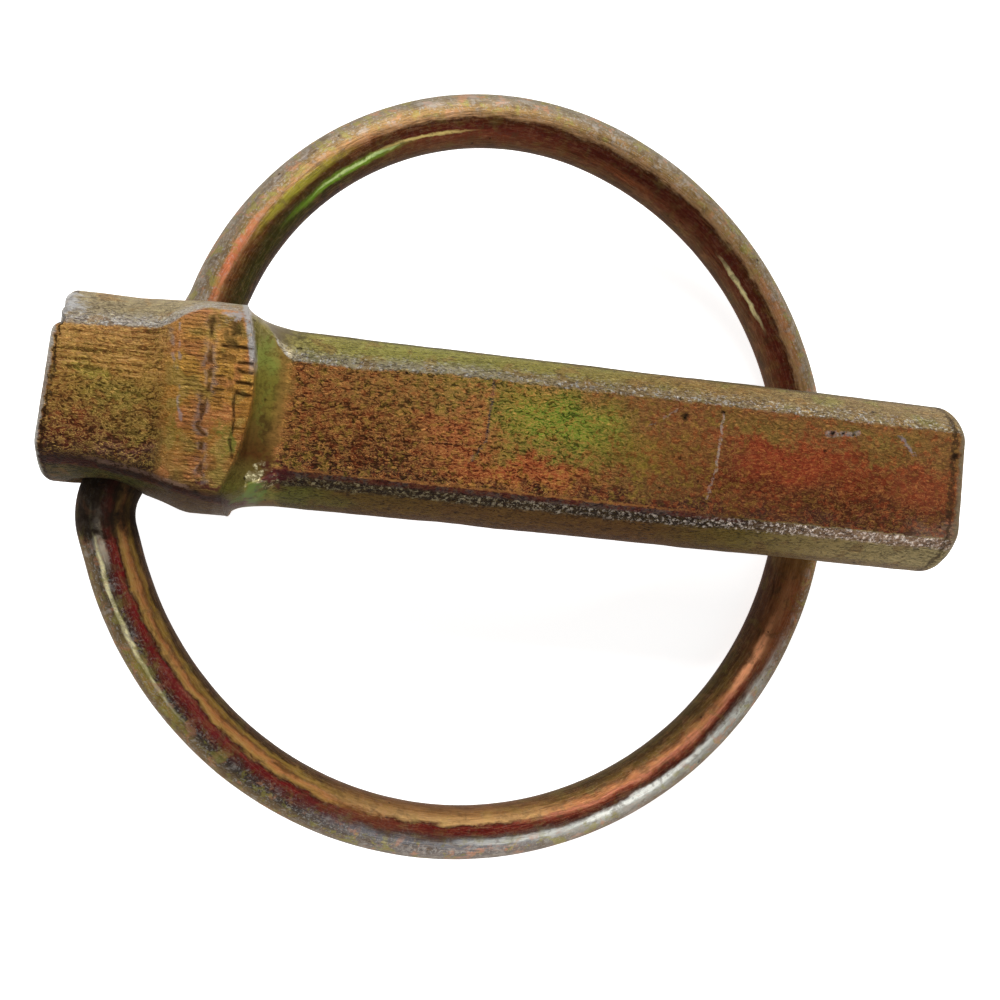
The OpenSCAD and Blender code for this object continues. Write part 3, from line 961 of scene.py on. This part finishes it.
def lower_film(b, along, below, in_strip, x, y, wobble, quiver, sparkle, hollows, crests):
    """The rounded lower side: maroon under the crease, then olive; a strip of painted glints
    on dark scale below the crease, turning into a painted pinkish-white highlight towards the
    tip, and painted shade along the bottom edge.
    """
    film = along.ramp({
        0.0: "3a3321", 0.1: "4e4d2c", 0.2: "50462c", 0.26: "696931", 0.33: "6c542a",
        0.5: "6c4d2a", 0.64: "664625", 0.74: "69592a", 0.85: "8a7850", 1.0: "9c8e68",
    })
    # the strip of painted glints, on a ground that lightens towards the tip into a painted
    # highlight
    ground = b.blend(x.rise(27.0, 40.0), "2a1e14", "8a6e5a")
    painted_glint_colour = b.blend(x.rise(8.0, 34.0), "a09474", "fdeee2")
    strip = ground.under((sparkle * (quiver * 2.4 + 0.7), painted_glint_colour))
    wine = b.blend((wobble + quiver).rise(-0.06, 0.1), "571f24", "4a3c40")
    return film.under(
        (wobble.rise(0.05, 0.15) * 0.5, "6a4a2c"),
        (in_strip, strip),
        (below.rise(0.44, 0.24) * 0.85 * x.rise(33.0, 26.0), wine),
        # painted shade along the bottom edge
        ((y + quiver * 0.5).rise(-5.0, -5.35) * 0.6, "4a2c22"),
        # darker hollows and paler crests: partly the scale's own colour, partly painted shade and
        # highlight
        (hollows * 0.7, "1a120a"), (crests * 0.3, "9a8248"),
    )


def back_film(drift_y, specks, hollows):
    """The hidden back: the same film, in broad drifts of olive, gold and brown."""
    film = (drift_y + 0.5).ramp({
        0.32: "575028", 0.44: "7d6430", 0.5: "8a6035", 0.58: "75482a", 0.7: "6d7034",
    })
    # darker hollows: partly the scale's own colour, partly painted shade
    return film.under((specks * 0.4, "a29c8c"), (hollows * 0.5, "38260f"))


def forged_chromate():
    """Yellow chromate over forged steel: scaly, stained and rubbed at its edges."""
    material, b, shader, place = start_finish("forged_chromate")
    drift, fray = b.drift(place, 0.55, 2, 0.6), b.drift(place, 2.6, 2, 0.65)
    wobble, drift_y, _ = b.parts(drift)
    quiver, quiver_y, quiver_z = b.parts(fray)
    ragged, wandering = place.plus(drift, 3.4).plus(fray, 1.7), place.plus(fray, 0.45)
    loose_x, loose_y, _ = b.parts(ragged)
    x, y, z = b.parts(place)
    broken = quiver_z.rise(-0.14, -0.04)
    reddened, gilded = quiver_y.rise(-0.02, -0.14), quiver_y.rise(0.02, 0.14)
    coarse = b.effect(scale_grain, Place=place, Along=0.4, Across=0.19, Curl=1.4)
    hollows, crests = coarse["Hollows"], coarse["Crests"]
    streak = b.effect(scale_grain, Place=place, Along=3.6, Across=0.2, Curl=0.15)
    fine = b.effect(scale_grain, Place=place, Along=1.1, Across=0.12, Curl=0.4)
    specks = b.mask(zinc_bloom, Place=place, Size=1.0, Amount=0.3)
    # sparkle: grains for the painted glints below the shank's crease and low in the neck
    sparkle = b.noise(place, 4.4, 3, 0.75).rise(0.5, 0.6)
    marks = b.parts(b.flow("ShaderNodeAttribute", output="Vector", attribute_name="collar_marks"))

    # where the pressed faces end above and below: at the creases of head, collar and shank
    upper = x.rise(-6.0, -2.8) * 1.5 - x.rise(-0.4, 2.0) * 2.45
    upper = upper + x.rise(-11.8, -6.0) * 0.3 + 3.7 + x.rise(5.0, 12.0) * 0.3
    lower = x.rise(-9.5, -0.2) * -1.5 + x.rise(-0.6, 1.8) * 2.15 - 4.0
    fuzz = wobble * 0.35 + quiver * 0.35
    above = (y + fuzz) - upper
    below = lower - (y + fuzz * 0.7)
    # where the neck begins and ends, along lines bowed like the shoulder
    bowed = x + (y - 0.8) * (y - 0.8) * 0.035 + wobble * 0.9 + quiver * 0.7
    collar_edge = x + (y - 1.0) * (y - 1.0) * 0.038 + quiver * 0.2
    shank = bowed.rise(1.55, 2.4)
    neck = collar_edge.rise(-0.12, 0.12) * bowed.rise(2.4, 1.55)
    head_part = x.rise(-0.6, -1.4)
    front = z.rise(-1.1, -0.3)

    # the shank's face and its squiggled scale, heaviest near the neck; the scale's darker
    # hollows and paler crests are partly its own colour, partly painted shade and highlight
    face = shank_film(b, loose_x, loose_y, ragged, wandering, broken)
    scaly = x.rise(25.0, 17.0) * 0.5 + 0.38
    face = face.under(
        (gilded * (x.rise(34.0, 22.0) * 0.26 + 0.12), "9f8a34"),
        (reddened * 0.4, "9a4426"), (hollows * scaly * 0.9, "1e1209"),
        (crests * scaly * 0.9, "dc9c58"),
    )

    # the head's face, its scale drawn out along its upper half; the darker hollows and paler
    # crests of its scale are partly its own colour, partly painted shade and highlight
    head = head_film(loose_y * 0.6 + y * 0.4, ragged)
    drawn_out = y.rise(0.0, 1.8)
    head = head.under(
        (streak["Hollows"] * drawn_out * 0.8, "4a2c14"),
        (streak["Crests"] * drawn_out * 0.75, "d2a468"), (gilded * 0.2, "9a8a38"),
        (reddened * 0.3, "8f4a26"), (hollows * (0.85 - drawn_out * 0.4), "2c1c0d"),
        (crests * 0.75, "cfa85c"),
    )

    # the collar's face, combed beside the step and beyond the first seam
    comb_from, comb_to = y * -0.11 - 3.96, y * -0.06 - 2.71
    combed = (x - comb_from).rise(-0.1, 0.2) * (comb_to - x).rise(-0.1, 0.15)
    beyond = x.rise(-2.5, -2.3) * x.rise(-1.4, -1.7) * y.rise(3.2, 2.6) * y.rise(-0.6, 0.0)
    comb = b.sum("SINE", y * (2 * math.pi / 0.25) + quiver * 7 + wobble * 5).rise(0.3, 0.95)
    comb = comb * (combed + beyond) * (quiver_y.rise(-0.16, 0.0) * 0.8 + 0.2)
    collar = collar_film(y + wobble, wobble + 0.5, marks, comb, ragged, fine)
    faces = head.under((x.rise(-5.5, -4.5), collar))

    # the neck, bronze where the shank's face begins
    smooth = neck_film(y + wobble * 0.8, ragged)
    smooth = smooth.under(
        (bowed.rise(1.0, 1.6) * y.rise(-3.2, -1.4) * 0.75, "8a6535"),
        (quiver.rise(0.0, 0.14) * 0.45, "5c4a20"),
        # darker hollows of the scale: partly its own colour, partly painted shade
        (hollows * 0.35, "3a2c14"),
    )
    faces = faces.under(
        (neck, smooth), (shank, face),
        # painted shade along the lower edge of the head's face
        (below.rise(-0.7, -0.1) * head_part * 0.75, "34201a"),
    )

    # the rounded sides, and the lines of the lower crease
    along = (x + HEAD_LENGTH) / (HEAD_LENGTH + SHANK_LENGTH) + wobble * 0.12
    down = below + x.rise(23.0, 34.0) * 0.2
    in_strip = down.rise(0.2, 0.34) * down.rise(1.0, 0.76) * shank
    top = upper_film(along, above, x, wobble, specks, hollows, crests, ragged)
    low = lower_film(b, along, below, in_strip, x, y, wobble, quiver, sparkle, hollows, crests)
    film = faces.under(
        (above.rise(-0.1, 0.12) * front, top),
        (below.rise(-0.06, 0.08) * front, low),
    )
    lit_edge = (below + 0.06).line(0.11, 0.03) * broken * shank * front
    # an orange painted highlight along the shank's lower crease, and painted shade along the
    # head's
    film = film.under(
        (lit_edge * x.rise(28.0, 24.0) * 0.55, "a9703f"),
        ((below - 0.08).line(0.26, 0.08) * head_part * front * 0.65, "241814"),
    )
    worn_line = (below + 0.16).line(0.2, 0.06) * broken
    worn_line = worn_line * x.rise(-9.6, -8.0) * x.rise(-2.6, -3.4) * front
    film = film.under((worn_line * 0.4, "94786a"))
    # a wine-red stain, and a painted gold-white glint, low in the neck
    film = patched(film, ragged, 4.2, (
        (1.9, -3.6, 1.5, 0.5, "4a1b20", 0.8),
        (0.4, -4.1, 0.7, 0.6, "f0e4b4", sparkle * 0.8 + 0.2),
    ))
    film = patched(film, ragged, 3.0, [(0.3, -5.0, 1.0, 0.6, "567038", 0.7)])

    # the back, and painted shade along the rim where the upper side turns away
    back = back_film(drift_y, specks, hollows)
    film = film.under(((z + quiver * 1.5).rise(0.3, -1.1), back))
    painted_rim_shade = (y + quiver * 0.3).rise(4.95, 5.3) * x.rise(0.5, 2.5) * z.rise(-0.8, -0.2)
    film = film.under((painted_rim_shade * 0.8, "3a3018"))

    # worn rims: the outer end, the collar's front edge and the tip
    end_in = x - (y + HEAD_BOTTOM) * math.tan(math.radians(END_SLANT)) + HEAD_LENGTH
    crust = (end_in + quiver * 0.8 - 0.52).line(0.16, 0.04) * front
    film = film.under(
        (crust * (broken * 0.7 + 0.2), "2a1a10"),
        ((end_in + quiver * 0.5).rise(0.42, 0.2) * 0.85, "b3b1ac"),
    )
    inner_end = (y * y + z * z + quiver * 20).rise(26.0, 15.0) * end_in.rise(0.8, 0.5)
    film = film.under((inner_end * 0.85, back))
    film = patched(film, ragged, 3.6, [(-11.6, 4.9, 1.2, 1.1, "bdbcbc", 0.85)])
    corner = (collar_edge + 0.14).line(0.3, 0.1) * y.rise(1.6, 3.0)
    film = film.under((corner * (broken * 0.5 + 0.45), "b4b1ae"))
    crust_in = (x + quiver * 0.9 - 43.35).line(0.26, 0.08)
    film = film.under((crust_in * (broken * 0.5 + 0.25) * front, "33261a"))
    rubbed = b.blend(quiver + 0.5, "5c5232", "8a8270")
    film = film.under(((x + quiver * 0.4).rise(43.6, 43.95) * 0.75, rubbed))

    # pits: scattered small ones, and the larger ones each in its own place
    pits = b.mask(pitting, Place=wandering, Spacing=1.3, Size=0.11, Fewer=0.45)
    film = film.under((pits * 0.8, "1f150e"))
    lone = 0.0
    for centre, size in (
        ((25.87, 2.46, 4.3), 0.34), ((25.8, -0.13, 4.3), 0.15),
        ((28.23, 2.95, 4.3), 0.17), ((35.3, 2.4, 4.3), 0.22),
        ((36.0, 2.5, 4.3), 0.15), ((36.7, 2.56, 4.3), 0.18),
        ((43.5, 1.9, 4.1), 0.34), ((38.2, 4.25, 3.6), 0.24),
    ):
        pit = b.mask(stain_and_light, Place=wandering, Centre=centre, Reach=(size,) * 3, Core=0.25)
        lone = pit + lone
    film = film.under((lone, "19110b"))

    # painted shade in the hole and in the worn funnels at its mouths
    axis = hole_matrix().to_3x3() @ Vector((0, 1, 0))
    off = b.vector("ADD", place, (HOLE_BACK, 0, 0))
    gap = b.vector("LENGTH", b.vector("CROSS_PRODUCT", off, tuple(axis)), output="Value")
    film = film.under(((gap + quiver * 0.4).rise(2.45, 1.95) * 0.9, "2a1e15"))

    # relief of the scale: none in the smooth neck, and heaviest beside it
    relief = x.rise(0.0, -0.4) * 0.4 + x.rise(1.6, 2.6) * (x.rise(36.0, 18.0) * 0.34 + 0.34)
    roughness = 0.4 + coarse["Height"] * 0.2 - neck * 0.12 - in_strip * 0.12
    end_finish(b, shader, film, roughness, 0.5, coarse["Height"] * relief)
    return material


def wire_bands(along, band, mottle):
    """Film in bands, from the wire's outermost side (0) over its front to the innermost (1).

    The bands change along the wire: from its upper mouth round to the lower one. They are
    partly the film's own colour and partly painted light: paler on the side turned to the
    window lamp, painted shade on the side turned away, and painted highlights in the palest
    bands, such as the silver one round the lower bend.
    """
    mouth = band.ramp({
        0.15: "7a7163", 0.26: "7c6c5a", 0.36: "7a643e", 0.43: "95704a", 0.5: "74482a",
        0.56: "512f14", 0.64: "443a1d", 0.74: "3f3d19", 0.86: "34281f",
    })
    arc = band.ramp({
        0.15: "706a5a", 0.3: "80705a", 0.4: "84683f", 0.49: "8c6a48", 0.525: "40200f",
        0.56: "4e2412", 0.61: "551e16", 0.72: "693422", 0.84: "5a3b26", 0.95: "443426",
    })
    shade = band.ramp({
        0.2: "5c5036", 0.4: "745038", 0.52: "8a4d2c", 0.6: "a8704a", 0.68: "8f5c38",
        0.8: "5a3a28", 0.95: "3c261b",
    })
    bend = band.ramp({
        0.2: "67594e", 0.34: "87857c", 0.43: "c4c5bc", 0.49: "66544a", 0.535: "401a12",
        0.585: "6a3020", 0.63: "a0624a", 0.68: "8c5a38", 0.74: "54341c", 0.8: "5c4622",
        0.86: "3a2612", 0.96: "463a1e",
    })
    bottom = band.ramp({
        0.2: "736c68", 0.32: "5d5653", 0.42: "6a6a6e", 0.49: "54443e", 0.55: "5a1c18",
        0.61: "541410", 0.64: "3a1c10", 0.68: "9a784c", 0.8: "7d5833", 0.93: "5d4029",
    })
    left = band.ramp({
        0.2: "6c5a40", 0.3: "50463a", 0.38: "3a3230", 0.45: "54201e", 0.53: "6c181a",
        0.57: "34190f", 0.61: "a07a40", 0.66: "a0683c", 0.7: "644222", 0.74: "86682f",
        0.79: "382610", 0.95: "3c2a19",
    })
    return mouth.under(
        ((along + mottle * 5).rise(9.0, 20.0), arc),
        (along.rise(55.0, 62.0), shade),
        ((along + mottle * 5).rise(71.0, 78.0), bend),
        ((along + mottle * 6).rise(90.0, 98.0), bottom),
        ((along + mottle * 6).rise(104.0, 113.0), left),
    )


def drawn_chromate():
    """Yellow chromate over drawn spring wire, in bands that follow the wire, with painted
    highlights and painted shade in them.
    """
    material, b, shader, place = start_finish("drawn_chromate")
    u, v, _ = b.parts(b.flow("ShaderNodeUVMap", output="UV", uv_map="along_wire"))
    along = u * WIRE_LENGTH - UPPER_MOUTH_AT
    angle = v * (2 * math.pi)
    across = 1 - abs(v * 2 - 1)
    facing = b.sum("SINE", angle)
    wire_place = b.joined(along * 0.4, b.sum("COSINE", angle) * WIRE_R, facing * WIRE_R)
    drawn = b.noise(wire_place, 1.5, 3, 0.62, 0.3) - 0.5
    mottle, dull, tint = b.parts(b.drift(place, 1.05, 4, 0.64, 0.3))
    shift = along.rise(14.0, 32.0) * along.rise(60.0, 56.0) * 0.07
    band = across + drawn * 0.16 + mottle * 0.07 - shift
    film = wire_bands(along, band, mottle)

    # patches, each at a length along the wire and a side of it, 0 outermost and 1 innermost;
    # the lime and pale streaks from 11.8 to 18.2 and the pale ones at 46.2, 87, 96 and 126.5
    # are painted highlights
    spread = b.joined(along, across + drawn * 0.08 + mottle * 0.05 - shift)
    for at, where, length, width, code, strength in (
        (2.4, 0.42, 4.2, 0.06, "c06a48", 0.8), (9.0, 0.51, 4.5, 0.06, "8f8a2c", 0.8),
        (11.8, 0.7, 5.0, 0.055, "7da832", 0.95), (13.0, 0.69, 3.6, 0.022, "e0f4a4", 0.95),
        (18.2, 0.665, 3.6, 0.026, "dcc478", 0.9), (34.0, 0.72, 3.0, 0.06, "8c5232", 0.6),
        (46.2, 0.695, 3.2, 0.03, "fff4b4", 0.95), (49.0, 0.42, 4.0, 0.08, "a06a45", 0.7),
        (74.5, 0.655, 3.6, 0.06, "f4a878", 0.85), (65.6, 0.5, 3.0, 0.5, "7a5e30", 0.75),
        (87.0, 0.45, 7.0, 0.05, "fbfcf4", 0.95), (96.0, 0.44, 5.0, 0.045, "cfd0ca", 0.7),
        (106.0, 0.56, 4.0, 0.06, "6b3a28", 0.6), (126.5, 0.335, 7.0, 0.036, "fff4bc", 0.95),
        (131.5, 0.4, 2.0, 0.05, "d2c2a8", 0.8), (122.0, 0.27, 4.0, 0.07, "9d8440", 0.75),
        (119.0, 0.53, 5.0, 0.05, "6f2827", 0.6),
    ):
        patch = b.mask(stain_and_light, Place=spread, Centre=(at, where, 0), Reach=(length, width, 1))
        film = film.under((patch * facing.rise(-0.2, 0.2) * strength, code))

    # zinc, olive and copper blotches, mostly on the outer side
    specks = b.mask(zinc_bloom, Place=place, Size=0.8, Amount=0.3)
    film = film.under((specks * (band.rise(0.55, 0.3) * 0.5 + 0.05), "aeaba4"))
    outer = band.rise(0.5, 0.36)
    film = film.under(
        (dull.rise(0.04, 0.14) * 0.45, "54402a"),
        (dull.rise(-0.04, -0.14) * (outer * 0.4 + 0.1), "b47c5c"),
        (tint.rise(0.04, 0.13) * (outer * 0.45 + 0.1), "8a8440"),
        (tint.rise(-0.05, -0.14) * outer * 0.5, "9a938c"),
    )

    # drawn lines, whose darker hollows and paler crests are partly painted shade and
    # highlight; pits; and the lower mouth darkened, partly soot and partly painted shade under
    # the head
    lines = b.effect(scale_grain, Place=wire_place, Along=0.55, Across=0.15)
    film = film.under((lines["Hollows"] * 0.2, "2c1a10"), (lines["Crests"] * 0.14, "c09a68"))
    dots = b.mask(pitting, Place=place, Spacing=1.1, Size=0.11, Fewer=0.5)
    film = film.under((dots * 0.75, "1b130d"))
    soot_and_shade = (along + mottle * 3).rise(130.4, 132.2)
    film = film.under((soot_and_shade * (mottle * 0.8 + 0.88), "211913"))
    roughness = 0.38 + lines["Height"] * 0.12 + specks * 0.12 + soot_and_shade * 0.2
    end_finish(b, shader, film, roughness, 0.55, lines["Height"] * 0.05)
    return material


for thing, finish in ((pin, forged_chromate), (ring, drawn_chromate)):
    thing.data.materials.clear()
    thing.data.materials.append(finish())

# ---- studio

FLOOR_HALF = 3.0
FLOOR_PAINT, FLOOR_GLOW, ROOM = 0.85, 0.82, 0.26


def plain_white_floor():
    """A pale floor that keeps a shadow and looks white to the camera and in reflections."""
    low = cad_box[0][2]
    corners = [(-1, -1), (1, -1), (1, 1), (-1, 1)]
    mesh = bpy.data.meshes.new("floor")
    mesh.from_pydata(
        [(x * FLOOR_HALF, y * FLOOR_HALF, low) for x, y in corners], [], [(0, 1, 2, 3)]
    )
    material = bpy.data.materials.new("floor_white")
    material.use_nodes = True
    material.node_tree.nodes.clear()
    b = Bench(material.node_tree)
    paint = b.flow("ShaderNodeBsdfDiffuse", {"Color": (*[FLOOR_PAINT] * 3, 1)})
    seen = b.node("ShaderNodeLightPath")
    looked_at = [Flow(b, seen.outputs[ray]) for ray in ("Is Camera Ray", "Is Glossy Ray")]
    lift = b.sum("MAXIMUM", *looked_at) * FLOOR_GLOW
    glow = b.flow("ShaderNodeEmission", {"Color": WHITE, "Strength": lift})
    both = b.flow("ShaderNodeAddShader", {0: paint, 1: glow})
    b.node("ShaderNodeOutputMaterial", {"Surface": both})
    mesh.materials.append(material)
    stood("floor", mesh)


def white_world():
    """A plain pale room, white where the camera sees past the floor."""
    world = bpy.data.worlds.new("studio")
    bpy.context.scene.world = world
    world.use_nodes = True
    world.node_tree.nodes.clear()
    b = Bench(world.node_tree)
    room = b.flow("ShaderNodeBackground", {"Color": (*[ROOM] * 3, 1)})
    plain = b.flow("ShaderNodeBackground", {"Color": WHITE})
    seen = b.flow("ShaderNodeLightPath", output="Is Camera Ray")
    either = b.flow("ShaderNodeMixShader", {0: seen, 1: room, 2: plain})
    b.node("ShaderNodeOutputWorld", {"Surface": either})


def soft_lamp(name, place, aim, size, power):
    """A large rectangular lamp; size in metres, power in watts."""
    data = bpy.data.lights.new(name, "AREA")
    data.shape = "RECTANGLE"
    data.size, data.size_y = size
    data.energy = power
    lamp = stood(name, data)
    lamp.location = place
    away = Vector(aim) - Vector(place)
    lamp.rotation_euler = away.to_track_quat("-Z", "Y").to_euler()


def set_camera():
    """The camera, in front of the pressed flat and turned a little."""
    data = bpy.data.cameras.new("camera")
    data.sensor_width, data.lens = 36, 45
    data.clip_start, data.clip_end = 0.002, 20
    ahead = Vector((0.1272, 0.0443, -0.9909)).normalized()
    right = Vector((0.9866, 0.0973, 0.131))
    right = (right - ahead * right.dot(ahead)).normalized()
    spin = Matrix((right, right.cross(ahead), -ahead)).transposed()
    place = Vector((5.46 - NECK_LENGTH, -7.13, 78.35)) * MM
    camera = stood("camera", data)
    camera.matrix_world = Matrix.Translation(place) @ spin.to_4x4()
    bpy.context.scene.camera = camera


plain_white_floor()
white_world()
soft_lamp("window", place=(0.02, 0.5, 0.42), aim=(0.01, 0, 0), size=(0.6, 0.4), power=6.0)
soft_lamp("edge", place=(0.2, -0.42, 0.16), aim=(0.01, 0, 0), size=(0.4, 0.08), power=1.2)
set_camera()
bpy.context.scene.view_settings.view_transform = "Standard"
